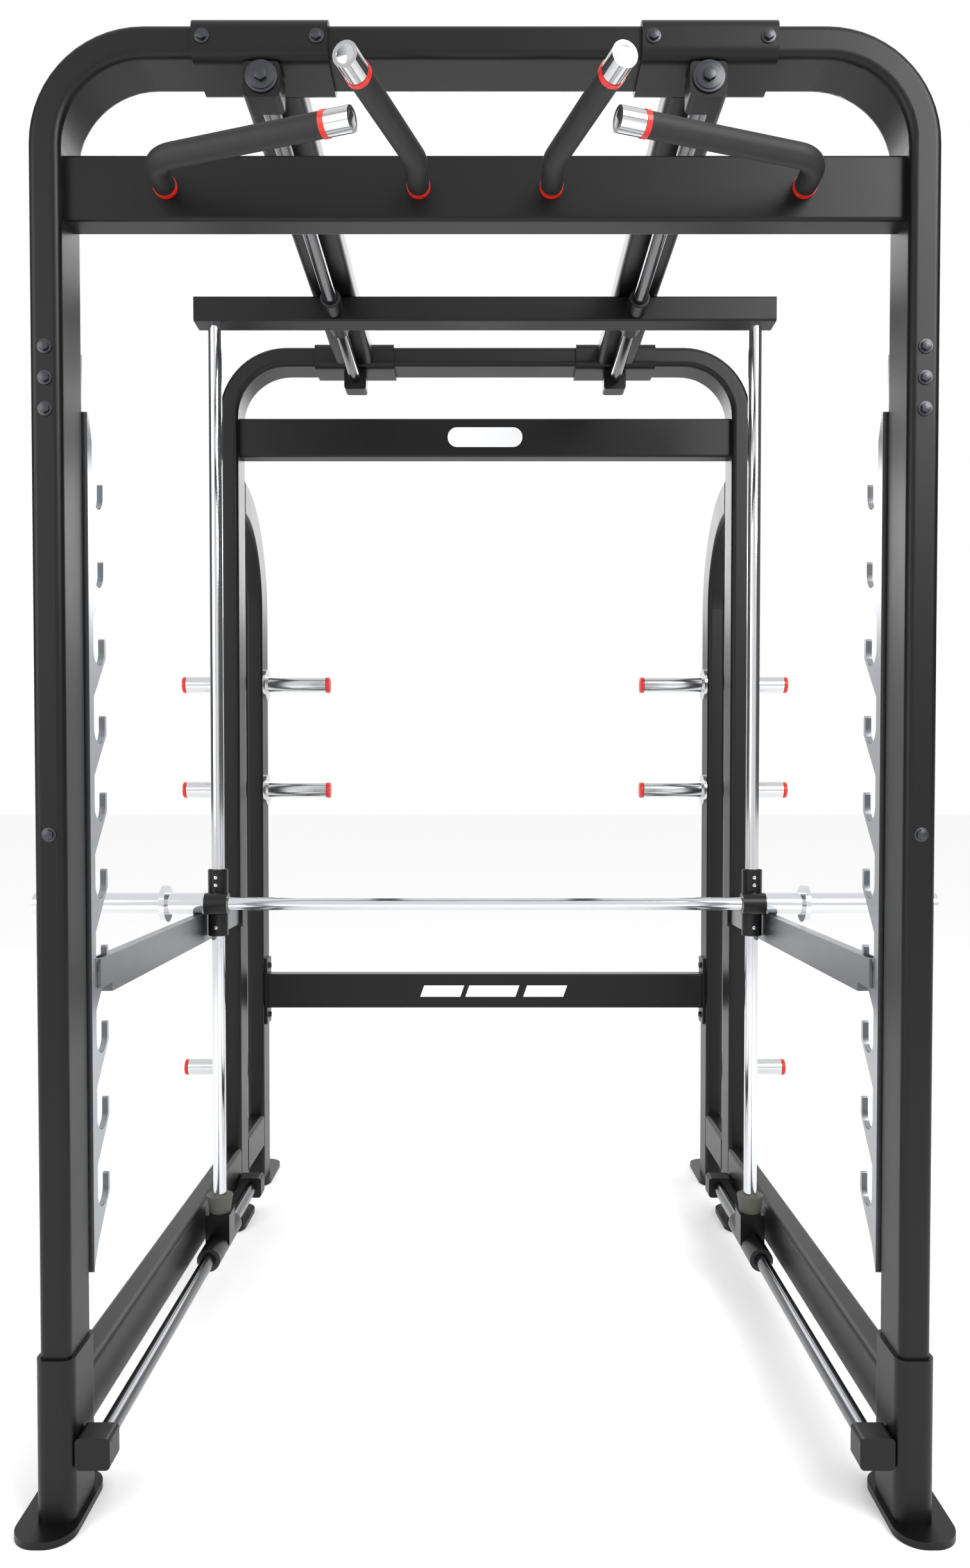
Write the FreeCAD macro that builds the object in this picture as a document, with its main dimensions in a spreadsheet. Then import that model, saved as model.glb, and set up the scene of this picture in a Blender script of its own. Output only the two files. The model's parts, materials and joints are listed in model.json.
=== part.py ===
import FreeCAD, Part
import math
import os
import Sketcher

# A three-dimensional smith machine: two bent-tube arches joined fore and aft, a carriage that rolls
# between them on four polished rails, and a bar that slides up and down the carriage's guide rods.
# X runs to the right, Y runs from the front arch to the back, Z is up.  Millimetres throughout.

document = FreeCAD.newDocument("smith_machine")
sheet = document.addObject("Spreadsheet::Sheet", "Sheet")

SIZES = {
    # the two arches
    "frame_width": 1416, "frame_height": 2359, "frame_spacing": 1282, "bend_radius": 155,
    "tube_width": 50, "tube_depth": 100, "tube_corner": 12, "tube_wall": 3,
    # rear legs, base and feet
    "leg_spacing": 320, "leg_bend_height": 1715, "base_height": 116,
    "socket_height": 263, "socket_wall": 6,
    "foot_thickness": 12, "foot_width": 99, "foot_length": 197, "foot_corner": 44,
    "foot_outset": 11.5, "rear_foot_length": 230, "rear_foot_tail": 125,
    # top beams, saddles and cross members
    "beam_offset": 346.5, "saddle_length": 210, "saddle_wall": 8,
    "cross_height": 102, "cross_depth": 50, "cross_corner": 6,
    "pull_up_height": 2122, "rear_upper_height": 2127, "rear_lower_height": 581,
    "end_plate_height": 196, "end_plate_depth": 64, "end_plate_thickness": 8,
    "badge_width": 200, "badge_height": 52, "badge_thickness": 3,
    # rails and their supports
    "rail_radius": 15, "top_rail_offset": 345, "top_rail_height": 2277,
    "bottom_rail_offset": 622, "bottom_rail_height": 122, "rail_inset": 4,
    "support_width": 58, "support_depth": 48, "support_margin": 26, "support_corner": 8,
    "washer_radius": 21, "washer_thickness": 4,
    # catch racks
    "rack_thickness": 10, "rack_overhang": 6, "rack_spine": 21, "rack_bottom": 373, "rack_top": 1798,
    "flange_width": 46, "flange_thickness": 6, "flange_top": 1892,
    "seat_radius": 26.5, "tip_thickness": 9, "tip_rise": 18, "nose_drop": 10, "tooth_drop": 81,
    "first_tooth": 495.5, "tooth_pitch": 131.3, "tooth_count": 10,
    # spotter arms
    "arm_tooth": 3, "arm_height": 65, "cheek_thickness": 5, "cheek_height": 50,
    "cheek_length": 94, "pin_radius": 15, "arm_gap": 5, "hanger_depth": 60, "hanger_wall": 7.7,
    "fit_gap": 0.3,
    # carriage
    "bar_place": 829, "bar_height": 920, "rod_setback": 46, "guide_radius": 15,
    "carriage_overhang": 42, "carriage_height": 56, "carriage_depth": 60, "carriage_corner": 5,
    "carriage_wall": 4, "top_housing_radius": 23, "top_housing_length": 170,
    "low_housing_radius": 26, "low_housing_length": 230, "pedestal_width": 56, "pedestal_top": 192,
    "rod_socket": 20, "bumper_height": 40, "bumper_foot": 24, "bumper_head": 30.5,
    "running_gap": 0.05,
    # sliders and barbell
    "slider_radius": 23, "slider_rise": 75, "slider_drop": 77, "slider_block": 44,
    "bearing_inner": 588, "bearing_outer": 640, "sleeve_radius": 25, "sleeve_gap": 0.5,
    "bar_radius": 15, "bar_end": 1030, "collar_place": 725, "collar_radius": 42, "collar_width": 12,
    # chin-up handles
    "handle_radius": 14, "grip_radius": 17.5, "ring_radius": 18.5, "ring_width": 8, "cap_length": 38,
    "handle_bend": 50, "handle_reach": 79, "inner_handle": 104, "inner_spread": 76, "inner_reach": 325,
    "outer_handle": 500, "outer_spread": 313, "outer_reach": 183,
    # weight horns
    "horn_radius": 24, "horn_length": 195, "horn_flange": 46, "horn_flange_thickness": 8,
    "horn_cap": 12, "upper_horn": 1497, "middle_horn": 1183, "lower_horn": 347,
    # bolts
    "bolt_radius": 8, "bolt_head": 5, "saddle_bolt_spread": 176,
    "rack_bolt_top": 1866, "rack_bolt_step": 48, "rack_bolt_low": 1108,
}

for row, (alias, number) in enumerate(SIZES.items(), start=1):
    sheet.set(f"A{row}", alias)
    sheet.set(f"B{row}", str(number))
    sheet.setAlias(f"B{row}", alias)
document.recompute()


class Length:
    """A size: its number in millimetres, and the spreadsheet expression that gives it."""

    def __init__(self, number, text):
        self.number = number
        self.text = text

    def __add__(self, other):
        other = length(other)
        return Length(self.number + other.number, f"({self.text} + {other.text})")

    def __sub__(self, other):
        other = length(other)
        return Length(self.number - other.number, f"({self.text} - {other.text})")

    def __mul__(self, other):
        other = length(other)
        return Length(self.number * other.number, f"({self.text} * {other.text})")

    def __truediv__(self, other):
        other = length(other)
        return Length(self.number / other.number, f"({self.text} / {other.text})")

    def __neg__(self):
        return self * -1

    __radd__ = __add__
    __rmul__ = __mul__


def length(value):
    """Return a plain number, a cell's name or a Length as a Length."""
    if isinstance(value, Length):
        return value
    if isinstance(value, str):
        return Length(float(sheet.get(value)), f"Sheet.{value}")
    return Length(float(value), f"({float(value)})")


def root(value):
    """Square root of a Length."""
    return Length(math.sqrt(value.number), f"sqrt({value.text})")


SIDES = (("left", -1), ("right", 1))
nodes = []


def keep(piece, label):
    """Give a finished sub-part its label and put it on the list of parts to write."""
    piece.Label = label
    nodes.append(piece)
    return piece


def unique(kind, stem):
    return document.addObject(kind, stem)


def bind(target, path, value):
    """Bind one property of an object to the spreadsheet."""
    target.setExpression(path, length(value).text)


ALONG_X = FreeCAD.Rotation(FreeCAD.Vector(0, 1, 0), 90)
ALONG_Y = FreeCAD.Rotation(FreeCAD.Vector(1, 0, 0), -90)
ALONG_Z = FreeCAD.Rotation()
FACE_FRONT = FreeCAD.Rotation(FreeCAD.Vector(1, 0, 0), 90)


def place(piece, x, y, z, rotation=ALONG_Z):
    """Turn a piece and bind its position to the spreadsheet."""
    x, y, z = length(x), length(y), length(z)
    piece.Placement = FreeCAD.Placement(FreeCAD.Vector(x.number, y.number, z.number), rotation)
    bind(piece, "Placement.Base.x", x)
    bind(piece, "Placement.Base.y", y)
    bind(piece, "Placement.Base.z", z)
    return piece


# ---- sketches -------------------------------------------------------------------------------------

def new_sketch(body, role):
    """Add a sketch to a body on one of the body's own origin planes."""
    plane = [feature for feature in body.Origin.OriginFeatures if feature.Role == role][0]
    sketch = body.newObject("Sketcher::SketchObject", "Sketch")
    sketch.AttachmentSupport = [(plane, "")]
    sketch.MapMode = "FlatFace"
    return sketch


def pin_point(sketch, geometry, end, x, y):
    """Hold one end of a line at x, y from the sketch's origin."""
    for kind, value in (("DistanceX", x), ("DistanceY", y)):
        number = sketch.addConstraint(Sketcher.Constraint(kind, -1, 1, geometry, end, value.number))
        bind(sketch, f"Constraints[{number}]", value)


def outline(sketch, corners, closed=True):
    """Draw lines and arcs through corners (x, y, turn, radius).

    turn says what leaves the corner: 0 a line, 1 an arc that turns left, -1 one that turns right.
    """
    corners = [(length(x), length(y), turn, length(radius)) for x, y, turn, radius in corners]
    count = len(corners) if closed else len(corners) - 1
    for index in range(count):
        x, y, turn, radius = corners[index]
        next_x, next_y = corners[(index + 1) % len(corners)][:2]
        start = FreeCAD.Vector(x.number, y.number, 0)
        stop = FreeCAD.Vector(next_x.number, next_y.number, 0)
        if turn == 0:
            geometry = sketch.addGeometry(Part.LineSegment(start, stop), False)
            pin_point(sketch, geometry, 1, x, y)
            pin_point(sketch, geometry, 2, next_x, next_y)
            continue
        chord = stop - start
        rise = math.sqrt(max(radius.number ** 2 - chord.Length ** 2 / 4, 0))
        normal = FreeCAD.Vector(-chord.y, chord.x, 0).normalize()
        centre = (start + stop) * 0.5 + normal * rise * turn
        circle = Part.Circle(centre, FreeCAD.Vector(0, 0, 1), radius.number)
        first, last = (start, stop) if turn > 0 else (stop, start)
        arc = Part.ArcOfCircle(circle, circle.parameter(first), circle.parameter(last))
        geometry = sketch.addGeometry(arc, False)
        first_end, last_end = (1, 2) if turn > 0 else (2, 1)
        pin_point(sketch, geometry, first_end, x, y)
        pin_point(sketch, geometry, last_end, next_x, next_y)
        number = sketch.addConstraint(Sketcher.Constraint("Radius", geometry, radius.number))
        bind(sketch, f"Constraints[{number}]", radius)


def rounded_rectangle(sketch, width, height, corner, x=0, y=0):
    """Draw a rectangle with round corners, centred at x, y."""
    width, height, corner, x, y = (length(value) for value in (width, height, corner, x, y))
    right, left = x + width / 2, x - width / 2
    top, bottom = y + height / 2, y - height / 2
    outline(sketch, [
        (left + corner, bottom, 0, 0), (right - corner, bottom, 1, corner),
        (right, bottom + corner, 0, 0), (right, top - corner, 1, corner),
        (right - corner, top, 0, 0), (left + corner, top, 1, corner),
        (left, top - corner, 0, 0), (left, bottom + corner, 1, corner)])


def ring_section(sketch, outer, inner=None, x=0, y=0):
    """Draw a circle, or two concentric circles, centred at x, y."""
    x, y = length(x), length(y)
    for radius in [outer] if inner is None else [outer, inner]:
        radius = length(radius)
        centre = FreeCAD.Vector(x.number, y.number, 0)
        circle = Part.Circle(centre, FreeCAD.Vector(0, 0, 1), radius.number)
        geometry = sketch.addGeometry(circle, False)
        number = sketch.addConstraint(Sketcher.Constraint("Radius", geometry, radius.number))
        bind(sketch, f"Constraints[{number}]", radius)
        pin_point(sketch, geometry, 3, x, y)


def tube_section(sketch, width, height, corner, wall, x=0, y=0):
    """Draw a hollow rectangular tube's section: two rounded rectangles a wall apart."""
    rounded_rectangle(sketch, width, height, corner, x, y)
    width, height, corner, wall = (length(value) for value in (width, height, corner, wall))
    rounded_rectangle(sketch, width - wall * 2, height - wall * 2, corner - wall, x, y)


# ---- bodies ---------------------------------------------------------------------------------------

def pad(body, sketch, height):
    feature = body.newObject("PartDesign::Pad", "Pad")
    feature.Profile = sketch
    bind(feature, "Length", height)
    return feature


def straight_tube(run, width, height, corner, wall):
    """A straight hollow tube whose section lies across local z, starting at z = 0."""
    body = unique("PartDesign::Body", "StraightTube")
    sketch = new_sketch(body, "XY_Plane")
    tube_section(sketch, width, height, corner, wall)
    pad(body, sketch, run)
    return body


def plate(thickness, width, height, corner, bore=None):
    """A flat plate with round corners and, where bore is given, a hole through its middle."""
    body = unique("PartDesign::Body", "Plate")
    sketch = new_sketch(body, "XY_Plane")
    rounded_rectangle(sketch, width, height, corner)
    if bore is not None:
        ring_section(sketch, bore)
    pad(body, sketch, thickness)
    return body


def pipe(body, section, path):
    """Sweep a section along a path."""
    feature = body.newObject("PartDesign::AdditivePipe", "Pipe")
    feature.Profile = section
    feature.Spine = path
    return feature


def cylinder(radius, height, x, y, z, rotation=ALONG_Z):
    """A solid round bar, from x, y, z along the rotation's own z axis."""
    solid = unique("Part::Cylinder", "Cylinder")
    bind(solid, "Radius", radius)
    bind(solid, "Height", height)
    return place(solid, x, y, z, rotation)


def box(x, y, z, size_x, size_y, size_z):
    """A plain block with its lowest corner at x, y, z."""
    solid = unique("Part::Box", "Box")
    bind(solid, "Length", size_x)
    bind(solid, "Width", size_y)
    bind(solid, "Height", size_z)
    return place(solid, x, y, z)


def cut(base, tool):
    piece = unique("Part::Cut", "Cut")
    piece.Base = base
    piece.Tool = tool
    return piece


def fuse(*solids):
    piece = unique("Part::MultiFuse", "Fuse")
    piece.Shapes = list(solids)
    piece.Refine = True
    return piece


def group(*solids):
    """Several separate solids that share one node."""
    piece = unique("Part::Compound", "Group")
    piece.Links = list(solids)
    return piece


def mirrored_x(sign, low, size):
    """Lowest x of a block that spans low to low + size on the right, or its mirror on the left."""
    return length(low) if sign > 0 else -(length(low) + size)


# ---- places that several pieces share -------------------------------------------------------------

half_width = length("frame_width") / 2
inner_face = half_width - "tube_width"
post_x = half_width - length("tube_width") / 2
foot_top = length("foot_thickness")
tail = length("frame_spacing") + "leg_spacing" + "tube_depth" + "rear_foot_tail"
cross_recess = (length("tube_depth") - "cross_depth") / 2
straight_reach = length("inner_reach") - "handle_reach"
slant = root(length("inner_spread") * "inner_spread" + straight_reach * straight_reach)
handle_lip = length("inner_reach") - cross_recess + length("grip_radius") * "inner_spread" / slant
front = (handle_lip - tail) / 2
front_back = front + "tube_depth"
rear = front + "frame_spacing"
rear_back = rear + "tube_depth"
leg_front = rear + "leg_spacing"
leg_middle = leg_front + length("tube_depth") / 2
tube_underside = length("frame_height") - "tube_width"
saddle_underside = tube_underside - "saddle_wall"
bar_y = front + "bar_place"
carriage_y = bar_y + "rod_setback"
guide_x = length("bottom_rail_offset")
rack_inner = inner_face - "rack_overhang"
seat_y = front_back + "rack_spine" + "seat_radius"


# ---- arches, legs, beams --------------------------------------------------------------------------

def arch():
    """An inverted U of rectangular tube, open at the floor, standing on the foot plates."""
    body = unique("PartDesign::Body", "Arch")
    section = new_sketch(body, "XY_Plane")
    tube_section(section, "tube_width", "tube_depth", "tube_corner", "tube_wall", -post_x, 0)
    path = new_sketch(body, "XZ_Plane")
    radius = length("bend_radius")
    crown = length("frame_height") - length("tube_width") / 2 - foot_top
    outline(path, [
        (-post_x, 0, 0, 0), (-post_x, crown - radius, -1, radius),
        (-post_x + radius, crown, 0, 0), (post_x - radius, crown, -1, radius),
        (post_x, crown - radius, 0, 0), (post_x, 0, 0, 0)], closed=False)
    pipe(body, section, path)
    return body


keep(place(arch(), 0, front + length("tube_depth") / 2, foot_top), "front_frame")
keep(place(arch(), 0, rear + length("tube_depth") / 2, foot_top), "rear_frame")


def rear_leg():
    """A leg that leaves the rear arch backwards, turns down in a quarter bend and stands behind it."""
    body = unique("PartDesign::Body", "RearLeg")
    section = new_sketch(body, "XY_Plane")
    tube_section(section, "tube_width", "tube_depth", "tube_corner", "tube_wall")
    path = new_sketch(body, "YZ_Plane")
    radius = leg_middle - rear_back
    straight = length("leg_bend_height") - foot_top
    outline(path, [(0, 0, 0, 0), (0, straight, 1, radius), (-radius, straight + radius, 0, 0)], closed=False)
    pipe(body, section, path)
    return body


def beam_along_y(start, stop, width, height):
    """A frame tube that runs from start to stop along Y."""
    return straight_tube(stop - start, width, height, "tube_corner", "tube_wall")


base_middle = length("base_height") + length("tube_depth") / 2
socket_back = front_back + "socket_wall"
front_saddle_back = front_back + "saddle_wall"
rear_saddle_front = rear - "saddle_wall"
beam_middle = length("frame_height") - length("tube_width") / 2
rear_base_beams = []
for side, sign in SIDES:
    keep(place(rear_leg(), sign * post_x, leg_middle, foot_top), f"{side}_rear_leg")
    base = beam_along_y(socket_back, rear, "tube_width", "tube_depth")
    keep(place(base, sign * post_x, socket_back, base_middle, ALONG_Y), f"{side}_base_beam")
    short = beam_along_y(rear_back, leg_front, "tube_width", "tube_depth")
    rear_base_beams.append(place(short, sign * post_x, rear_back, base_middle, ALONG_Y))
    top = beam_along_y(front_saddle_back, rear_saddle_front, "tube_depth", "tube_width")
    beam_x = sign * length("beam_offset")
    keep(place(top, beam_x, front_saddle_back, beam_middle, ALONG_Y), f"{side}_top_beam")
keep(group(*rear_base_beams), "rear_base_beams")


def cross_member(run):
    """A rectangular tube across the machine, its tall side upright."""
    return straight_tube(run, "cross_height", "cross_depth", "cross_corner", "tube_wall")


cross_run = inner_face * 2
upper_crossbars = (
    ("pull_up_crossbar", front, "pull_up_height"),
    ("rear_upper_crossbar", rear, "rear_upper_height"))
for label, y, z in upper_crossbars:
    middle = y + length("tube_depth") / 2
    keep(place(cross_member(cross_run), -inner_face, middle, z, ALONG_X), label)


def lower_crossbar():
    """The low cross member between the rear legs, with an end plate welded to each end."""
    run = inner_face - "end_plate_thickness"
    bar = place(cross_member(run * 2), -run, leg_middle, "rear_lower_height", ALONG_X)
    pieces = [bar]
    for _, sign in SIDES:
        x = mirrored_x(sign, run, "end_plate_thickness")
        y = leg_middle - length("end_plate_depth") / 2
        z = length("rear_lower_height") - length("end_plate_height") / 2
        pieces.append(box(x, y, z, "end_plate_thickness", "end_plate_depth", "end_plate_height"))
    return fuse(*pieces)


keep(lower_crossbar(), "rear_lower_crossbar")


def clamp_sleeve(run, wall, width, height):
    """A close sleeve round a frame tube."""
    wall = length(wall)
    corner = length("tube_corner") + wall
    return straight_tube(run, length(width) + wall * 2, length(height) + wall * 2, corner, wall)


for label, y in (("front_saddles", front), ("rear_saddles", rear)):
    sleeves = []
    for _, sign in SIDES:
        sleeve = clamp_sleeve("saddle_length", "saddle_wall", "tube_width", "tube_depth")
        x = sign * length("beam_offset") - length("saddle_length") / 2
        sleeves.append(place(sleeve, x, y + length("tube_depth") / 2, beam_middle, ALONG_X))
    keep(group(*sleeves), label)

sockets = []
for _, sign in SIDES:
    sleeve = clamp_sleeve("socket_height", "socket_wall", "tube_width", "tube_depth")
    sockets.append(place(sleeve, sign * post_x, front + length("tube_depth") / 2, foot_top))
keep(group(*sockets), "front_sockets")

foot_rows = (
    ("front_feet", front + length("tube_depth") / 2, "foot_length"),
    ("middle_feet", rear + length("tube_depth") / 2, "foot_length"),
    ("rear_feet", front + tail - length("rear_foot_length") / 2, "rear_foot_length"))
for label, y, run in foot_rows:
    feet = []
    for _, sign in SIDES:
        foot = plate("foot_thickness", "foot_width", run, "foot_corner")
        feet.append(place(foot, sign * (post_x + "foot_outset"), y, 0))
    keep(group(*feet), label)

badge = plate("badge_thickness", "badge_width", "badge_height", length("badge_height") / 2 - 0.5)
badge_y = rear + cross_recess
keep(place(badge, 0, badge_y, "rear_upper_height", FACE_FRONT), "badge")


# ---- rails and supports ---------------------------------------------------------------------------

def rail_support(side_x, low_x, reach, y, bottom, top, rail_height, solid_front):
    """A block with round corners that holds a rail's end in a blind hole.

    low_x to reach is its span outwards from the middle; solid_front says which end stays closed.
    """
    sign = 1 if side_x.number > 0 else -1
    depth = length("support_depth")
    inset = length("rail_inset")
    block = plate(depth, reach - low_x, top - bottom, "support_corner")
    place(block, sign * (low_x + reach) / 2, y + depth, (bottom + top) / 2, FACE_FRONT)
    bore_y = y + inset if solid_front else y
    return cut(block, cylinder("rail_radius", depth - inset, side_x, bore_y, rail_height, ALONG_Y))


top_supports = []
bottom_supports = []
washers = []
margin = length("support_margin")
top_low = length("top_rail_height") - margin - 4
for side, sign in SIDES:
    top_x = sign * length("top_rail_offset")
    low_x = sign * guide_x
    start = front + "rail_inset"
    top_run = rear + "support_depth" - "rail_inset" - start
    keep(cylinder("rail_radius", top_run, top_x, start, "top_rail_height", ALONG_Y), f"{side}_top_rail")
    low_run = rear - "rail_inset" - start
    keep(cylinder("rail_radius", low_run, low_x, start, "bottom_rail_height", ALONG_Y), f"{side}_bottom_rail")
    half = length("support_width") / 2
    near, far = length("top_rail_offset") - half, length("top_rail_offset") + half
    for y, solid_front in ((front, True), (rear, False)):
        top_supports.append(rail_support(
            top_x, near, far, y, top_low, saddle_underside, "top_rail_height", solid_front))
    low_z, high_z = length("bottom_rail_height") - margin, length("bottom_rail_height") + margin
    ends = ((front, inner_face - "socket_wall", True), (rear - "support_depth", inner_face, False))
    for y, reach, solid_front in ends:
        bottom_supports.append(rail_support(
            low_x, guide_x - margin, reach, y, low_z, high_z, "bottom_rail_height", solid_front))
    thickness = length("washer_thickness")
    head_y = front - thickness - "bolt_head"
    head = cylinder("bolt_radius", "bolt_head", top_x, head_y, "top_rail_height", ALONG_Y)
    washer = cylinder("washer_radius", thickness, top_x, front - thickness, "top_rail_height", ALONG_Y)
    washers.append(fuse(washer, head))
keep(group(*top_supports), "top_rail_supports")
keep(group(*bottom_supports), "bottom_rail_supports")
keep(group(*washers), "rail_end_washers")


# ---- catch racks ----------------------------------------------------------------------------------

def catch_rack(sign):
    """An angle with a saw-toothed web: ten hooked seats for the bar's sleeves, one above another."""
    body = unique("PartDesign::Body", "CatchRack")
    spine = length("rack_spine")
    rise = length("rack_top") - "rack_bottom"
    web = new_sketch(body, "YZ_Plane")
    outline(web, [
        (0, 0, 0, 0), (spine, spine * 2, 0, 0), (spine, rise - spine * 2, 0, 0),
        (flange_depth, rise, 0, 0), (0, rise, 0, 0)])
    pad(body, web, "rack_thickness")
    tooth = new_sketch(body, "YZ_Plane")
    seat = length("seat_radius")
    level = length("first_tooth") - "rack_bottom"
    nib = length("tip_thickness") / 2
    back = spine - 5
    lip = spine + seat * 2
    nose = lip + nib * 2
    peak = level + "tip_rise"
    outline(tooth, [
        (spine, level, 1, seat), (spine + seat, level - seat, 1, seat),
        (lip, level, 0, 0), (lip, peak, -1, nib), (lip + nib, peak + nib, -1, nib),
        (nose, peak, 0, 0), (nose, level - "nose_drop", 0, 0),
        (spine, level - "tooth_drop", 0, 0), (back, level - "tooth_drop", 0, 0), (back, level, 0, 0)])
    hook = pad(body, tooth, "rack_thickness")
    document.recompute()
    row = body.newObject("PartDesign::LinearPattern", "Teeth")
    row.Originals = [hook]
    row.Direction = (tooth, ["V_Axis"])
    bind(row, "Length", (length("tooth_count") - 1) * "tooth_pitch")
    bind(row, "Occurrences", "tooth_count")
    body.Tip = row
    x = mirrored_x(sign, rack_inner, "rack_thickness")
    place(body, x, front_back, "rack_bottom")
    flange_x = mirrored_x(sign, rack_inner + "rack_thickness", length("flange_width") - "rack_thickness")
    flange = box(flange_x, front_back, "rack_bottom", length("flange_width") - "rack_thickness",
                 "flange_thickness", length("flange_top") - "rack_bottom")
    return fuse(body, flange)


flange_depth = length("flange_thickness")
for side, sign in SIDES:
    keep(catch_rack(sign), f"{side}_catch_rack")


# ---- spotter arms ---------------------------------------------------------------------------------

arm_middle = rack_inner + length("rack_thickness") / 2
arm_top = length("bar_height") - "sleeve_radius" - "fit_gap"
arm_seat = length("first_tooth") + length("arm_tooth") * "tooth_pitch" - "seat_radius"
hangers = []
for side, sign in SIDES:
    tooth_end = seat_y + "seat_radius" + "tip_thickness"
    start = tooth_end + "arm_gap"
    stop = rear - "arm_gap"
    cheek = length("cheek_thickness")
    slot = length("rack_thickness") / 2 + "fit_gap"
    thick = (slot + cheek) * 2
    blade_x = mirrored_x(sign, arm_middle - thick / 2, thick)
    blade = box(blade_x, start, arm_top - "arm_height", thick, stop - start, "arm_height")
    cheeks = []
    for edge in (arm_middle - slot - cheek, arm_middle + slot):
        x = mirrored_x(sign, edge, cheek)
        y = seat_y - "pin_radius" - 4
        cheeks.append(box(x, y, arm_top - "cheek_height", cheek, "cheek_length", "cheek_height"))
    pin_z = arm_seat + "pin_radius"
    pin = cylinder("pin_radius", thick, blade_x, seat_y, pin_z, ALONG_X)
    keep(fuse(blade, pin, *cheeks), f"{side}_spotter_arm")
    wall = length("hanger_wall")
    slot_width = thick + length("fit_gap") * 2
    yoke_run = slot_width + wall * 2
    yoke_x = mirrored_x(sign, arm_middle - yoke_run / 2, yoke_run)
    slot_x = mirrored_x(sign, arm_middle - slot_width / 2, slot_width)
    slot_z = arm_top - "arm_height"
    depth = length("hanger_depth")
    yoke = box(yoke_x, rear - depth, slot_z - wall, yoke_run, depth, "cheek_height")
    hangers.append(cut(yoke, box(slot_x, rear - depth, slot_z, slot_width, depth, "cheek_height")))
keep(group(*hangers), "arm_hangers")


# ---- chin-up handles ------------------------------------------------------------------------------

def handle_path(sketch, start, spread, reach):
    """Forwards out of the crossbar, round one bend, then straight to the tip at spread, -reach."""
    bend, corner = length("handle_bend"), length("handle_reach")
    run = root(spread * spread + (reach - corner) * (reach - corner))
    turn = 1 if spread.number > 0 else -1
    angle = math.atan2(abs(spread.number), reach.number - corner.number)
    setback = bend.number * math.tan(angle / 2)
    along = FreeCAD.Vector(spread.number, corner.number - reach.number, 0) / run.number
    knee = FreeCAD.Vector(0, -corner.number, 0)
    entry = knee + FreeCAD.Vector(0, setback, 0)
    leave = knee + along * setback
    tip = FreeCAD.Vector(spread.number, -reach.number, 0)
    middle = entry + FreeCAD.Vector(turn * bend.number, 0, 0)
    circle = Part.Circle(middle, FreeCAD.Vector(0, 0, 1), bend.number)
    first, last = (entry, leave) if turn > 0 else (leave, entry)
    first_end, last_end = (1, 2) if turn > 0 else (2, 1)
    stem = sketch.addGeometry(Part.LineSegment(FreeCAD.Vector(0, start.number, 0), entry), False)
    arc = Part.ArcOfCircle(circle, circle.parameter(first), circle.parameter(last))
    elbow = sketch.addGeometry(arc, False)
    grip = sketch.addGeometry(Part.LineSegment(leave, tip), False)
    pin_point(sketch, stem, 1, length(0), start)
    sketch.addConstraint(Sketcher.Constraint("Vertical", stem))
    sketch.addConstraint(Sketcher.Constraint("Tangent", stem, 2, elbow, first_end))
    sketch.addConstraint(Sketcher.Constraint("Tangent", elbow, last_end, grip, 1))
    number = sketch.addConstraint(Sketcher.Constraint("Radius", elbow, bend.number))
    bind(sketch, f"Constraints[{number}]", bend)
    pin_point(sketch, grip, 2, spread, -reach)
    guide = sketch.addGeometry(Part.LineSegment(tip, knee), True)
    sketch.addConstraint(Sketcher.Constraint("Coincident", guide, 1, grip, 2))
    pin_point(sketch, guide, 2, length(0), -corner)
    sketch.addConstraint(Sketcher.Constraint("Parallel", guide, grip))


def bent_round_tube(start, spread, reach, outer, inner):
    """A round tube that follows a handle's path."""
    body = unique("PartDesign::Body", "HandleTube")
    section = new_sketch(body, "XZ_Plane")
    section.AttachmentOffset = FreeCAD.Placement(FreeCAD.Vector(0, 0, -start.number), FreeCAD.Rotation())
    section.setExpression("AttachmentOffset.Base.z", (-start).text)
    ring_section(section, outer, inner)
    path = new_sketch(body, "XY_Plane")
    handle_path(path, start, spread, reach)
    pipe(body, section, path)
    return body


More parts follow.
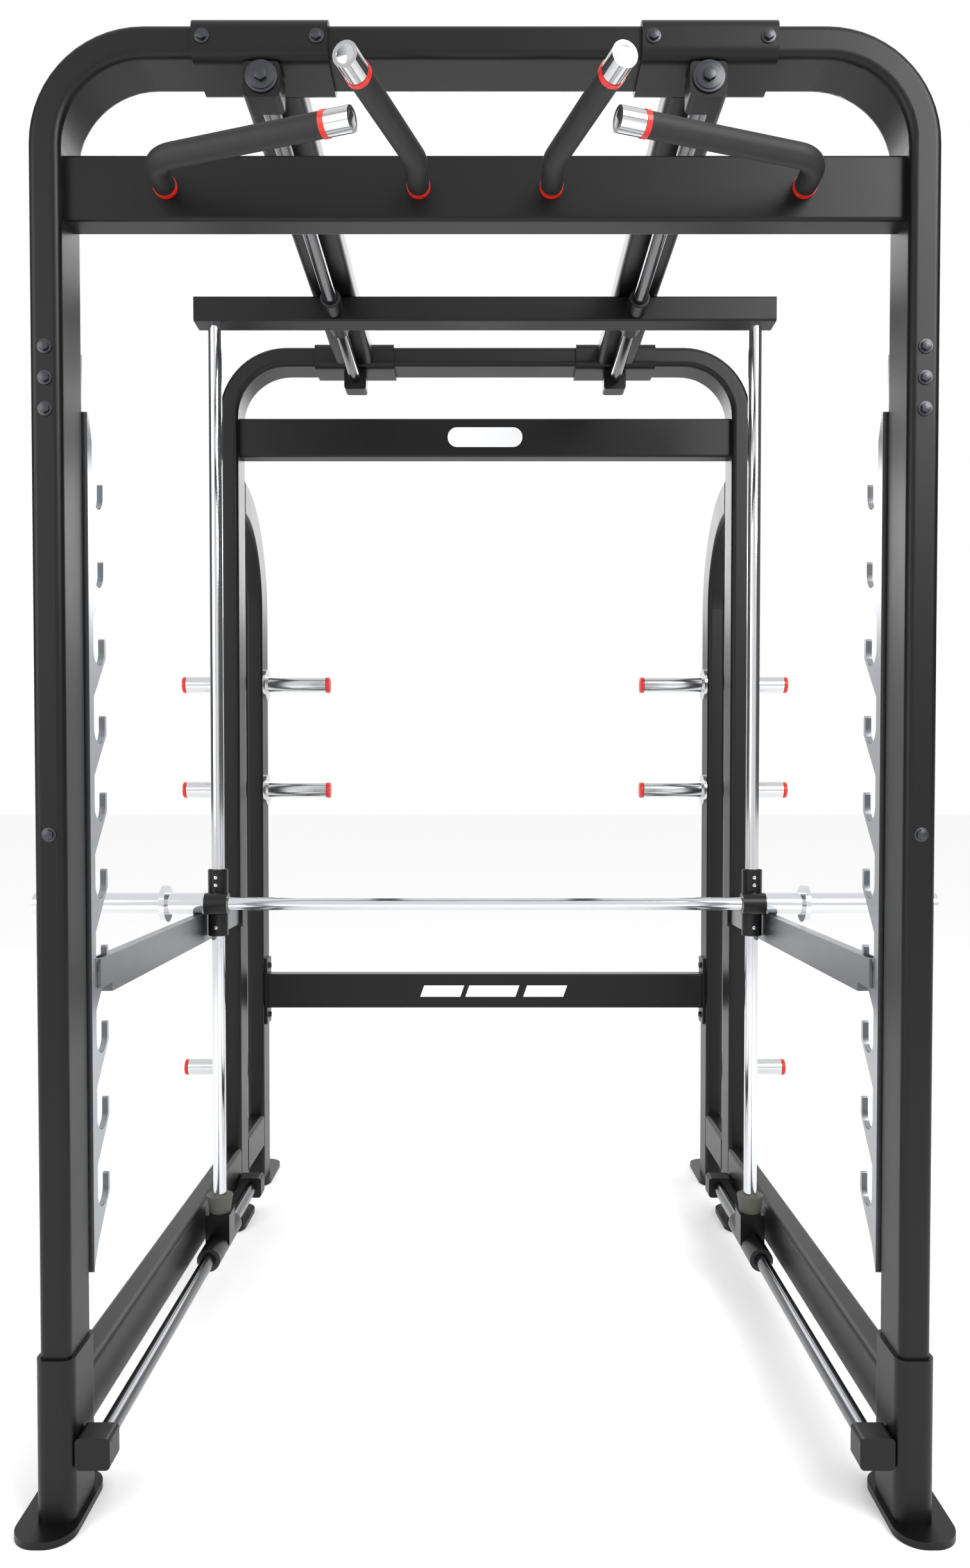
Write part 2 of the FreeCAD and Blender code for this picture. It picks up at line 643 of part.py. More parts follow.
HANDLES = (("inner", "inner_handle", "inner_spread", "inner_reach", 1),
           ("outer", "outer_handle", "outer_spread", "outer_reach", -1))
cross_front = front + cross_recess
caps = []
rings = []
for kind, place_x, spread_cell, reach_cell, way in HANDLES:
    grips = []
    for side, sign in SIDES:
        base_x = sign * length(place_x)
        spread = sign * way * length(spread_cell)
        reach = length(reach_cell)
        corner = length("handle_reach")
        run = root(spread * spread + (reach - corner) * (reach - corner))
        along_x, along_y = spread / run, (corner - reach) / run
        tube = bent_round_tube(length(0), spread, reach, "handle_radius", length("handle_radius") - 2)
        keep(place(tube, base_x, cross_front, "pull_up_height"), f"{kind}_{side}_handle")
        bare = length("cap_length") + "ring_width"
        grip_spread = spread - along_x * bare
        grip_reach = reach + along_y * bare
        grip = bent_round_tube(-length("ring_width"), grip_spread, grip_reach, "grip_radius", "handle_radius")
        grips.append(place(grip, base_x, cross_front, "pull_up_height"))
        direction = FreeCAD.Vector(along_x.number, along_y.number, 0)
        facing = FreeCAD.Rotation(FreeCAD.Vector(0, 0, 1), direction)
        pieces = (
            ("ring_radius", "ring_width", bare, rings),
            ("grip_radius", "cap_length", length("cap_length"), caps))
        for radius, width, back, kept in pieces:
            x = base_x + spread - along_x * back
            y = cross_front - reach - along_y * back
            disc = cylinder(radius, width, x, y, "pull_up_height", facing)
            core = cylinder("handle_radius", width, x, y, "pull_up_height", facing)
            kept.append(cut(disc, core))
        disc = cylinder("ring_radius", "ring_width", base_x, cross_front, "pull_up_height", FACE_FRONT)
        core = cylinder("handle_radius", "ring_width", base_x, cross_front, "pull_up_height", FACE_FRONT)
        rings.append(cut(disc, core))
    keep(group(*grips), f"{kind}_grips")
keep(group(*caps), "handle_end_caps")
keep(group(*rings), "handle_rings")


# ---- weight horns ---------------------------------------------------------------------------------

def horn(start_x, way, z):
    """A weight peg with a round flange, standing out of a leg from start_x in the direction way."""
    bare = length("horn_length") - "horn_cap"
    flange = length("horn_flange_thickness")
    post_start = start_x if way > 0 else start_x - bare
    flange_start = start_x if way > 0 else start_x - flange
    post = cylinder("horn_radius", bare, post_start, leg_middle, z, ALONG_X)
    return fuse(post, cylinder("horn_flange", flange, flange_start, leg_middle, z, ALONG_X))


outer_horns = []
inner_horns = []
horn_caps = []
bare_horn = length("horn_length") - "horn_cap"
for _, sign in SIDES:
    runs = [(half_width, sign, level, outer_horns) for level in ("upper_horn", "middle_horn", "lower_horn")]
    runs += [(inner_face, -sign, level, inner_horns) for level in ("upper_horn", "middle_horn")]
    for face, way, level, kept in runs:
        start_x = sign * face
        kept.append(horn(start_x, way, level))
        cap_x = start_x + bare_horn if way > 0 else start_x - "horn_length"
        horn_caps.append(cylinder("horn_radius", "horn_cap", cap_x, leg_middle, level, ALONG_X))
keep(group(*outer_horns), "outer_horns")
keep(group(*inner_horns), "inner_horns")
keep(group(*horn_caps), "horn_end_caps")


# ---- bolts ----------------------------------------------------------------------------------------

bolts = []
head = length("bolt_head")
for _, sign in SIDES:
    levels = [length("rack_bolt_top") - length("rack_bolt_step") * step for step in range(3)]
    for level in levels + [length("rack_bolt_low")]:
        bolts.append(cylinder("bolt_radius", head, sign * post_x, front - head, level, ALONG_Y))
    for end in (-1, 1):
        x = sign * length("beam_offset") + end * length("saddle_bolt_spread") / 2
        y = front - "saddle_wall" - head
        bolts.append(cylinder("bolt_radius", head, x, y, beam_middle, ALONG_Y))
        gap = (length("end_plate_height") + "cross_height") / 4
        level = length("rear_lower_height") + end * gap
        edge = inner_face - "end_plate_thickness" - head
        bolts.append(cylinder("bolt_radius", head, mirrored_x(sign, edge, head), leg_middle, level, ALONG_X))
keep(group(*bolts), "frame_bolts")


# ---- carriage -------------------------------------------------------------------------------------

carriage_half = guide_x + "carriage_overhang"
carriage_tube = straight_tube(
    carriage_half * 2, "carriage_height", "carriage_depth", "carriage_corner", "carriage_wall")
place(carriage_tube, -carriage_half, carriage_y, "top_rail_height", ALONG_X)
carriage_under = length("top_rail_height") - length("carriage_height") / 2
holes = []
housings = []
housing_start = carriage_y - length("top_housing_length") / 2
rail_bore = length("rail_radius") + "running_gap"
for _, sign in SIDES:
    x = sign * length("top_rail_offset")
    run = length("top_housing_length")
    shell = cylinder("top_housing_radius", run, x, housing_start, "top_rail_height", ALONG_Y)
    bore = cylinder(rail_bore, run, x, housing_start, "top_rail_height", ALONG_Y)
    housings.append(cut(shell, bore))
    holes.append(cylinder("top_housing_radius", run, x, housing_start, "top_rail_height", ALONG_Y))
keep(cut(carriage_tube, fuse(*holes)), "carriage_crossbar")
keep(group(*housings), "top_bearing_housings")

bumpers = []
low_start = carriage_y - length("low_housing_length") / 2
rod_foot = length("pedestal_top") - "rod_socket"
for side, sign in SIDES:
    x = sign * guide_x
    rod_run = carriage_under - rod_foot
    keep(cylinder("guide_radius", rod_run, x, carriage_y, rod_foot), f"{side}_guide_rod")
    run = length("low_housing_length")
    shell = cylinder("low_housing_radius", run, x, low_start, "bottom_rail_height", ALONG_Y)
    width = length("pedestal_width")
    pedestal = box(x - width / 2, carriage_y - width / 2, "bottom_rail_height",
                   width, width, length("pedestal_top") - "bottom_rail_height")
    bore = cylinder(rail_bore, run, x, low_start, "bottom_rail_height", ALONG_Y)
    socket = cylinder("guide_radius", "rod_socket", x, carriage_y, rod_foot)
    keep(cut(fuse(shell, pedestal), fuse(bore, socket)), f"{side}_lower_carriage")
    cone = unique("Part::Cone", "Cone")
    bind(cone, "Radius1", "bumper_foot")
    bind(cone, "Radius2", "bumper_head")
    bind(cone, "Height", "bumper_height")
    place(cone, x, carriage_y, "pedestal_top")
    bumpers.append(cut(cone, cylinder("guide_radius", "bumper_height", x, carriage_y, "pedestal_top")))
keep(group(*bumpers), "guide_bumpers")


# ---- sliders and barbell --------------------------------------------------------------------------

bearings = []
slider_low = length("bar_height") - "slider_drop"
slider_run = length("slider_rise") + "slider_drop"
bearing_run = length("bearing_outer") - "bearing_inner"
for side, sign in SIDES:
    x = sign * guide_x
    shell = cylinder("slider_radius", slider_run, x, carriage_y, slider_low)
    block = length("slider_block")
    width = (length("bearing_outer") - "bottom_rail_offset") * 2
    cradle = box(x - width / 2, bar_y, length("bar_height") - block / 2, width, "rod_setback", block)
    rod_bore = cylinder(length("guide_radius") + "running_gap", slider_run, x, carriage_y, slider_low)
    start = mirrored_x(sign, "bearing_inner", bearing_run)
    saddle = cylinder("sleeve_radius", bearing_run, start, bar_y, "bar_height", ALONG_X)
    keep(cut(fuse(shell, cradle), fuse(rod_bore, saddle)), f"{side}_bar_slider")
    tube = cylinder("sleeve_radius", bearing_run, start, bar_y, "bar_height", ALONG_X)
    bar_bore = length("bar_radius") + "running_gap"
    bearings.append(cut(tube, cylinder(bar_bore, bearing_run, start, bar_y, "bar_height", ALONG_X)))
keep(group(*bearings), "bar_bearings")

bar_half = length("bar_end") - 4
keep(cylinder("bar_radius", bar_half * 2, -bar_half, bar_y, "bar_height", ALONG_X), "bar")
sleeve_start = length("bearing_outer") + "sleeve_gap"
sleeve_run = length("bar_end") - sleeve_start
for side, sign in SIDES:
    start = mirrored_x(sign, sleeve_start, sleeve_run)
    tube = cylinder("sleeve_radius", sleeve_run, start, bar_y, "bar_height", ALONG_X)
    width = length("collar_width")
    collar_start = mirrored_x(sign, "collar_place", width)
    collar = cylinder("collar_radius", width, collar_start, bar_y, "bar_height", ALONG_X)
    hollow_start = mirrored_x(sign, sleeve_start, bar_half - sleeve_start)
    core = cylinder("bar_radius", bar_half - sleeve_start, hollow_start, bar_y, "bar_height", ALONG_X)
    keep(cut(fuse(tube, collar), core), f"{side}_sleeve")


# ---- write ----------------------------------------------------------------------------------------

document.recompute()
faults = [item.Label for item in document.Objects if "Invalid" in item.State or "Error" in item.State]
faults += [piece.Label for piece in nodes if piece.Shape.isNull() or not piece.Shape.isValid()]
if faults:
    raise SystemExit(f"these did not build: {sorted(set(faults))}")

os.makedirs("parts", exist_ok=True)
for piece in nodes:
    piece.Shape.exportStep(f"parts/{piece.Label}.step")
whole = Part.makeCompound([piece.Shape for piece in nodes]).BoundBox
print(f"{len(nodes)} parts, box {whole}")
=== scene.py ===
"""Looks of a three-dimensional smith machine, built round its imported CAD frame.

Every position comes from the CAD nodes' own boxes and shells; lengths are in metres.
"""

import json
import logging
import math
from collections.abc import Sequence
from dataclasses import dataclass, field
from enum import Enum

import bmesh
import bpy
from mathutils import Matrix, Vector


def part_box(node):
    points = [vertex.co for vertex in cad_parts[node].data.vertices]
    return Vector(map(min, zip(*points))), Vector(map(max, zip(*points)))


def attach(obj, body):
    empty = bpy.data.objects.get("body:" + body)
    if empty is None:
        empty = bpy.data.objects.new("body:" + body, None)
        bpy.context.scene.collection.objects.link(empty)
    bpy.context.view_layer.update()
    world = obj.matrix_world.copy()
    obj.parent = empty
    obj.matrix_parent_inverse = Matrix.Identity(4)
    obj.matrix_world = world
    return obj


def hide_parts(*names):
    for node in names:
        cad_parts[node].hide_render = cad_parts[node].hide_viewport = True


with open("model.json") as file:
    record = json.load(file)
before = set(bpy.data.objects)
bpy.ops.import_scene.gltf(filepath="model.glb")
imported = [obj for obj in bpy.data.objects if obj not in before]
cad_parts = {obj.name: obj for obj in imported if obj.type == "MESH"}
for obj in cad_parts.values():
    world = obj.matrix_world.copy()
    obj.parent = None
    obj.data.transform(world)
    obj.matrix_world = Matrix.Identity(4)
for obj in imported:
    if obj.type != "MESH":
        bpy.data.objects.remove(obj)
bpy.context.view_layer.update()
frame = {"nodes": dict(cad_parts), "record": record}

MM = 0.001
ROUND_SIDES = 48
RING_STEPS = 64
HEXAGON = 6
SHARP_ABOVE = math.radians(35.0)
CREASE_ABOVE = math.radians(32.0)
COAT_ROUGHNESS = 0.12
SMEARS_PER_METRE = 9.0
BRUSH_STRETCH = (1.0, 1.0, 0.02)
RELIEF_STRENGTH = 0.6
log = logging.getLogger("smith_machine")


class Body(Enum):
    """The rigid bodies of the machine."""

    FRAME = "frame"
    CARRIAGE = "carriage"
    SLIDERS = "sliders"
    BARBELL = "barbell"


class Grain(Enum):
    """How a surface was made, which decides its relief."""

    SMOOTH = "smooth"
    PEEL = "peel"
    BRUSHED = "brushed"
    PEBBLED = "pebbled"


def linear(code: str) -> tuple[float, float, float, float]:
    """Turns an sRGB hex colour into linear light.

    Args:
        code: six hex digits after a hash sign.

    Returns:
        Linear red, green, blue and full alpha.
    """
    shades = [int(code[start : start + 2], 16) / 255 for start in (1, 3, 5)]
    light = [s / 12.92 if s <= 0.04045 else ((s + 0.055) / 1.055) ** 2.4 for s in shades]
    return (light[0], light[1], light[2], 1.0)


def add_node(tree: bpy.types.NodeTree, kind: str, settings: dict, links: dict) -> bpy.types.Node:
    """Adds one shader node with its settings and its incoming links.

    Args:
        tree: the material's node tree.
        kind: the node's type name.
        settings: attribute or input names and their values.
        links: input names and the output sockets that feed them.

    Returns:
        The new node.
    """
    node = tree.nodes.new(kind)
    for name, value in settings.items():
        if name in node.inputs:
            node.inputs[name].default_value = value
        else:
            setattr(node, name, value)
    for name, source in links.items():
        tree.links.new(source, node.inputs[name])
    return node


@dataclass(frozen=True)
class Finish:
    """One real material with the way its surface was made."""

    name: str
    colour: str
    roughness: float
    metallic: float = 0.0
    grain: Grain = Grain.SMOOTH
    grain_mm: float = 1.0
    depth_mm: float = 0.02
    wear: float = 0.06
    coat: float = 0.0
    specular: float = 0.5

    def material(self) -> bpy.types.Material:
        """Returns this finish's material, making it the first time."""
        known = bpy.data.materials.get(self.name)
        return known if known else self._build()

    def _build(self) -> bpy.types.Material:
        """Builds the shader: base colour, uneven gloss and the surface's own relief.

        Returns:
            The new material.
        """
        material = bpy.data.materials.new(self.name)
        material.use_nodes = True
        tree = material.node_tree
        shader = tree.nodes["Principled BSDF"]
        shader.inputs["Base Color"].default_value = linear(self.colour)
        shader.inputs["Metallic"].default_value = self.metallic
        shader.inputs["Specular IOR Level"].default_value = self.specular
        shader.inputs["Coat Weight"].default_value = self.coat
        shader.inputs["Coat Roughness"].default_value = COAT_ROUGHNESS
        place = add_node(tree, "ShaderNodeTexCoord", {}, {}).outputs["Object"]
        broad = {"Scale": SMEARS_PER_METRE, "Detail": 3.0}
        smear = add_node(tree, "ShaderNodeTexNoise", broad, {"Vector": place})
        gloss = {"To Min": self.roughness - self.wear / 2, "To Max": self.roughness + self.wear / 2}
        spread = add_node(tree, "ShaderNodeMapRange", gloss, {"Value": smear.outputs["Fac"]})
        tree.links.new(spread.outputs["Result"], shader.inputs["Roughness"])
        if self.grain is not Grain.SMOOTH:
            bump = self._relief(tree, place)
            tree.links.new(bump.outputs["Normal"], shader.inputs["Normal"])
        return material

    def _relief(self, tree: bpy.types.NodeTree, place: bpy.types.NodeSocket) -> bpy.types.Node:
        """Adds the relief that the surface's grain gives.

        Args:
            tree: the material's node tree.
            place: the object-coordinate socket.

        Returns:
            A bump node.
        """
        fine = 1.0 / (self.grain_mm * MM)
        vector = place
        if self.grain is Grain.BRUSHED:
            stretched = add_node(tree, "ShaderNodeMapping", {"Scale": BRUSH_STRETCH}, {"Vector": place})
            vector = stretched.outputs["Vector"]
        if self.grain is Grain.PEBBLED:
            cells = add_node(tree, "ShaderNodeTexVoronoi", {"Scale": fine}, {"Vector": vector})
            height = cells.outputs["Distance"]
        else:
            cells = add_node(tree, "ShaderNodeTexNoise", {"Scale": fine, "Detail": 2.0}, {"Vector": vector})
            height = cells.outputs["Fac"]
        settings = {"Strength": RELIEF_STRENGTH, "Distance": self.depth_mm * MM}
        return add_node(tree, "ShaderNodeBump", settings, {"Height": height})


# Electrostatic polyester powder baked on steel: deep black, satin, with a faint orange peel.
POWDER = Finish("powder_coated_steel", "#08080a", 0.38, grain=Grain.PEEL, grain_mm=2.4, depth_mm=0.05,
                specular=0.3)
# Air-dried semi-gloss enamel on turned bearing housings: a little smoother than the powder.
ENAMEL = Finish("black_enamelled_steel", "#09090a", 0.3, grain=Grain.PEEL, grain_mm=3.5, depth_mm=0.03,
                specular=0.35)
# Chromed rail shafts with a darker base colour, which is a painted dark reflection of their surroundings:
# darker than chrome, with sharp highlights.
SHAFT_PAINTED_DARK = Finish("shaft_steel_painted_dark_reflection", "#6a6b6e", 0.16, 1.0, wear=0.05)
# Hard chrome, centreless ground and polished: a mirror with almost no texture.
HARD_CHROME = Finish("hard_chromed_ground_steel", "#d6d8db", 0.1, 1.0, wear=0.05)
# Decorative chrome over nickel: as bright, slightly warmer and a little less even.
BRIGHT_CHROME = Finish("bright_chrome_plated_steel", "#cfd0d2", 0.13, 1.0, wear=0.06)
# Plasma-cut plate, polished along its length: bright with a fine upright lay.
POLISHED_PLATE = Finish("polished_steel_plate", "#9a9da1", 0.26, 1.0, Grain.BRUSHED, 0.9, 0.02)
# Zinc-nickel plated plate: a soft grey with blurred reflections.
PLATED_GREY = Finish("zinc_nickel_plated_steel", "#83868a", 0.34, 1.0, Grain.PEEL, 2.0, 0.02)
# Black-oxide steel fasteners: dark, oily and half glossy.
OXIDE = Finish("black_oxide_steel", "#4a4b4e", 0.36, 1.0)
# Moulded foam rubber with a pebbled skin, drawn coarse enough to be seen.
GRIP_RUBBER = Finish("pebbled_nitrile_rubber", "#161617", 0.6, grain=Grain.PEBBLED, grain_mm=2.2,
                     depth_mm=0.25)
# Compression-moulded rubber buffer: flat and greyish.
BUFFER_RUBBER = Finish("moulded_buffer_rubber", "#4f4f4a", 0.7, grain=Grain.PEEL, grain_mm=1.6,
                       depth_mm=0.04)
# Injection-moulded ABS in red: even and fairly glossy.
RED_ABS = Finish("moulded_red_abs", "#cf2318", 0.3, wear=0.04)
# Injection-moulded ABS in black, spark-textured in its mould.
BLACK_ABS = Finish("moulded_black_abs", "#17171a", 0.48, grain=Grain.PEEL, grain_mm=0.9, depth_mm=0.03)
# Printed and lacquered white plate.
WHITE_PLATE = Finish("lacquered_white_plate", "#e9eaec", 0.25, wear=0.03, coat=0.4)

SLOT_FINISHES = {
    "black_powder_coat": POWDER,
    "chromed_shaft": HARD_CHROME,
    "horn_chrome": BRIGHT_CHROME,
    "rack_steel": POLISHED_PLATE,
    "arm_steel": PLATED_GREY,
    "bearing_black": ENAMEL,
    "grip_rubber": GRIP_RUBBER,
    "bumper_rubber": BUFFER_RUBBER,
    "red_plastic": RED_ABS,
    "badge_white": WHITE_PLATE,
    "bolt_zinc": OXIDE,
}


@dataclass(frozen=True)
class Shell:
    """The box round one separate solid of a CAD node."""

    low: Vector
    high: Vector

    @property
    def centre(self) -> Vector:
        """Returns the middle of the box."""
        return (self.low + self.high) / 2

    @property
    def size(self) -> Vector:
        """Returns the box's three sides."""
        return self.high - self.low


def shell(node: str) -> Shell:
    """Returns the box of a whole CAD node."""
    low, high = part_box(node)
    return Shell(Vector(low), Vector(high))


def shells(node: str) -> list[Shell]:
    """Finds the separate solids of a CAD node.

    Args:
        node: the node's name.

    Returns:
        One box for each solid, sorted by place.
    """
    mesh = bmesh.new()
    mesh.from_mesh(frame["nodes"][node].data)
    bmesh.ops.remove_doubles(mesh, verts=mesh.verts, dist=0.01 * MM)
    waiting = set(mesh.verts)
    found = []
    while waiting:
        edge = [waiting.pop()]
        points = []
        while edge:
            vert = edge.pop()
            points.append(vert.co.copy())
            beside = {link.other_vert(vert) for link in vert.link_edges} & waiting
            waiting -= beside
            edge.extend(beside)
        low = Vector([min(point[side] for point in points) for side in range(3)])
        high = Vector([max(point[side] for point in points) for side in range(3)])
        found.append(Shell(low, high))
    mesh.free()
    return sorted(found, key=lambda item: tuple(round(value, 4) for value in item.centre))


def facing(direction: Vector) -> Matrix:
    """Returns the rotation that stands local Z along a direction."""
    return direction.to_track_quat("Z", "Y").to_matrix().to_4x4()


@dataclass
class Piece:
    """A new mesh in the making, with its finish, its body and the CAD it stands for."""

    name: str
    finish: Finish
    body: Body
    slot: str
    stands_for: Sequence[str] = ()
    mesh: bmesh.types.BMesh = field(default_factory=bmesh.new)

    def disc(self, centre: Vector, direction: Vector, radius: float, depth: float,
             sides: int = ROUND_SIDES) -> None:
        """Adds a round or many-sided solid.

        Args:
            centre: the middle of its length.
            direction: which way it stands.
            radius: its radius, to the corners where it has flats.
            depth: its length along the direction.
            sides: how many flats it has.
        """
        turn = Matrix.Translation(centre) @ facing(direction)
        bmesh.ops.create_cone(self.mesh, cap_ends=True, segments=sides, radius1=radius, radius2=radius,
                              depth=depth, matrix=turn)

    def ring(self, centre: Vector, direction: Vector, radius: float, bore: float, depth: float) -> None:
        """Adds a round ring by spinning a small rectangle about the direction.

        Args:
            centre: the ring's middle.
            direction: the ring's axis.
            radius: its outer radius.
            bore: its inner radius.
            depth: its thickness along the axis.
        """
        part = bmesh.new()
        middle = Vector(((radius + bore) / 2, 0, 0))
        scale = Matrix.Diagonal((radius - bore, 1.0, depth, 1.0))
        grid = bmesh.ops.create_grid(part, x_segments=1, y_segments=1, size=0.5)
        upright = Matrix.Rotation(math.pi / 2, 4, "X")
        bmesh.ops.transform(part, matrix=Matrix.Translation(middle) @ scale @ upright, verts=grid["verts"])
        bmesh.ops.spin(part, geom=part.verts[:] + part.edges[:] + part.faces[:], cent=(0, 0, 0),
                       axis=(0, 0, 1), angle=math.tau, steps=RING_STEPS, use_merge=True)
        inside = [face for face in part.faces if all(len(edge.link_faces) > 2 for edge in face.edges)]
        bmesh.ops.delete(part, geom=inside, context="FACES")
        bmesh.ops.remove_doubles(part, verts=part.verts, dist=0.001 * MM)
        bmesh.ops.recalc_face_normals(part, faces=part.faces)
        bmesh.ops.transform(part, matrix=Matrix.Translation(centre) @ facing(direction), verts=part.verts)
        spare = bpy.data.meshes.new("ring")
        part.to_mesh(spare)
        part.free()
        self.mesh.from_mesh(spare)
        bpy.data.meshes.remove(spare)

    def block(self, centre: Vector, size: Vector, slant: float = 0.0) -> None:
        """Adds a rectangular block.

        Args:
            centre: its middle.
            size: its three sides.
            slant: how far its top leans along X, for each unit of height.
        """
        lean = Matrix.Identity(4)
        lean[0][2] = slant
        matrix = Matrix.Translation(centre) @ lean @ Matrix.Diagonal((*size, 1.0))
        bmesh.ops.create_cube(self.mesh, size=1.0, matrix=matrix)

    def soften(self, width: float) -> None:
        """Rounds every sharp edge made so far.

        Args:
            width: the bevel's width.
        """
        joined = [edge for edge in self.mesh.edges if edge.is_manifold]
        sharp = [edge for edge in joined if edge.calc_face_angle() > SHARP_ABOVE]
        bmesh.ops.bevel(self.mesh, geom=sharp, offset=width, segments=2, profile=0.5, affect="EDGES",
                        material=-1)

    def place(self) -> bpy.types.Object:
        """Turns the mesh into a finished object on its body.

        Returns:
            The new object.
        """
        bmesh.ops.recalc_face_normals(self.mesh, faces=self.mesh.faces)
        data = bpy.data.meshes.new(self.name)
        self.mesh.to_mesh(data)
        self.mesh.free()
        data.set_sharp_from_angle(angle=CREASE_ABOVE)
        item = bpy.data.objects.new(self.name, data)
        bpy.context.scene.collection.objects.link(item)
        data.materials.append(self.finish.material())
        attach(item, self.body.value)
        if self.stands_for:
            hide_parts(*self.stands_for)
        log.info("%s: %d faces", self.name, len(data.polygons))
        return item


RIGHT = Vector((1.0, 0.0, 0.0))
FORWARD = Vector((0.0, -1.0, 0.0))
UP = Vector((0.0, 0.0, 1.0))


def sideways(place_x: float) -> Vector:
    """Returns the outward direction along X on that side of the machine."""
    return Vector((math.copysign(1.0, place_x), 0.0, 0.0))


@dataclass
class Fasteners:
    """Hexagon bolts with washers on the frame, the rails' ends and the feet.

    The rail stack lists the radius, depth and flats of what stands on a top rail's front end.
    """

    washer_radius: float = 11.5 * MM
    washer_depth: float = 1.6 * MM
    head_radius: float = 8.4 * MM
    head_depth: float = 5.0 * MM
    edge: float = 0.7 * MM
    washer_sides: int = 32
    rail_stack: tuple[tuple[float, float, int], ...] = (
        (25.0 * MM, 3.0 * MM, ROUND_SIDES),
        (20.5 * MM, 2.0 * MM, ROUND_SIDES),
        (10.5 * MM, 6.0 * MM, HEXAGON),
    )
    middle_foot_inset: float = 26 * MM
    middle_foot_offset: float = 12 * MM
    rear_foot_inset: float = 44 * MM

    def bolt(self, piece: Piece, seat: Vector, direction: Vector) -> None:
        """Adds one washer and hexagon head, standing on seat along direction.

        Args:
            piece: the piece that gains the bolt.
            seat: the point on the surface that the bolt clamps.
            direction: away from the surface.
        """
        under = seat + direction * self.washer_depth / 2
        piece.disc(under, direction, self.washer_radius, self.washer_depth, self.washer_sides)
        middle = seat + direction * (self.washer_depth + self.head_depth / 2)
        piece.disc(middle, direction, self.head_radius, self.head_depth, HEXAGON)

    def frame_bolts(self) -> None:
        """Replaces the CAD's plain heads with washers and hexagon heads."""
        piece = Piece("hexagon_bolts", OXIDE, Body.FRAME, "bolt_zinc", ["frame_bolts"])
        for head in shells("frame_bolts"):
            across = head.size.x < head.size.y
            if across:
                inner = min(head.low.x, head.high.x, key=abs)
                outer = max(head.low.x, head.high.x, key=abs)
                seat = Vector((outer, head.centre.y, head.centre.z))
                self.bolt(piece, seat, sideways(inner - outer))
            else:
                self.bolt(piece, Vector((head.centre.x, head.high.y, head.centre.z)), FORWARD)
        piece.soften(self.edge)
        piece.place()

    def rail_ends(self) -> None:
        """Builds the stepped washers and bolts that hold the top rails' front ends."""
        piece = Piece("rail_end_bolts", OXIDE, Body.FRAME, "bolt_zinc", ["rail_end_washers"])
        for stack in shells("rail_end_washers"):
            seat = Vector((stack.centre.x, stack.high.y, stack.centre.z))
            for radius, depth, sides in self.rail_stack:
                piece.disc(seat + FORWARD * depth / 2, FORWARD, radius, depth, sides)
                seat = seat + FORWARD * depth
        piece.soften(self.edge)
        piece.place()

    def anchors(self) -> None:
        """Stands an anchor bolt on the free end of each middle and rear foot."""
        piece = Piece("anchor_bolts", OXIDE, Body.FRAME, "bolt_zinc")
        for foot in shells("middle_feet"):
            inward = -sideways(foot.centre.x)
            edge = Vector((foot.centre.x, foot.low.y + self.middle_foot_inset, foot.high.z))
            self.bolt(piece, edge + inward * self.middle_foot_offset, UP)
        for foot in shells("rear_feet"):
            seat = Vector((foot.centre.x, foot.high.y - self.rear_foot_inset, foot.high.z))
            self.bolt(piece, seat, UP)
        piece.soften(self.edge)
        piece.place()


@dataclass
class Handles:
    """The closed tips of the chin-up handles, of which the inner ones reach furthest forward.

    Spread and drop give the direction of each handle's straight end, along X and forward.
    """

    inner_count: int = 2
    inner_spread: float = 76 * MM
    inner_drop: float = 246 * MM
    outer_spread: float = 313 * MM
    outer_drop: float = 104 * MM
    reach: float = 19 * MM
    plug_radius: float = 14.0 * MM
    plug_depth: float = 3.0 * MM
    plug_sink: float = 0.2 * MM
    edge: float = 0.8 * MM

    def tips(self) -> None:
        """Closes each handle's open end with a chromed plug."""
        piece = Piece("handle_tip_plugs", BRIGHT_CHROME, Body.FRAME, "horn_chrome")
        front_first = sorted(shells("handle_end_caps"), key=lambda item: item.centre.y)
        for rank, cap in enumerate(front_first):
            direction = self.way(rank < self.inner_count, cap.centre.x)
            middle = cap.centre + direction * (self.reach - self.plug_sink - self.plug_depth / 2)
            piece.disc(middle, direction, self.plug_radius, self.plug_depth)
        piece.soften(self.edge)
        piece.place()

    def way(self, inner: bool, place_x: float) -> Vector:
        """Returns the direction in which a handle's straight end points.

        Args:
            inner: whether the handle is one of the inner ones.
            place_x: the end's place along X.

        Returns:
            A unit vector.
        """
        if inner:
            return (sideways(place_x) * self.inner_spread + FORWARD * self.inner_drop).normalized()
        return (FORWARD * self.outer_drop - sideways(place_x) * self.outer_spread).normalized()


@dataclass
class Pegs:
    """The weight pegs' rounded red end caps."""

    rounding: float = 3.0 * MM

    def caps(self) -> None:
        """Replaces the plain caps with rounded ones."""
        piece = Piece("peg_end_caps", RED_ABS, Body.FRAME, "red_plastic", ["horn_end_caps"])
        for cap in shells("horn_end_caps"):
            piece.disc(cap.centre, RIGHT, cap.size.y / 2, cap.size.x)
        piece.soften(self.rounding)
        piece.place()


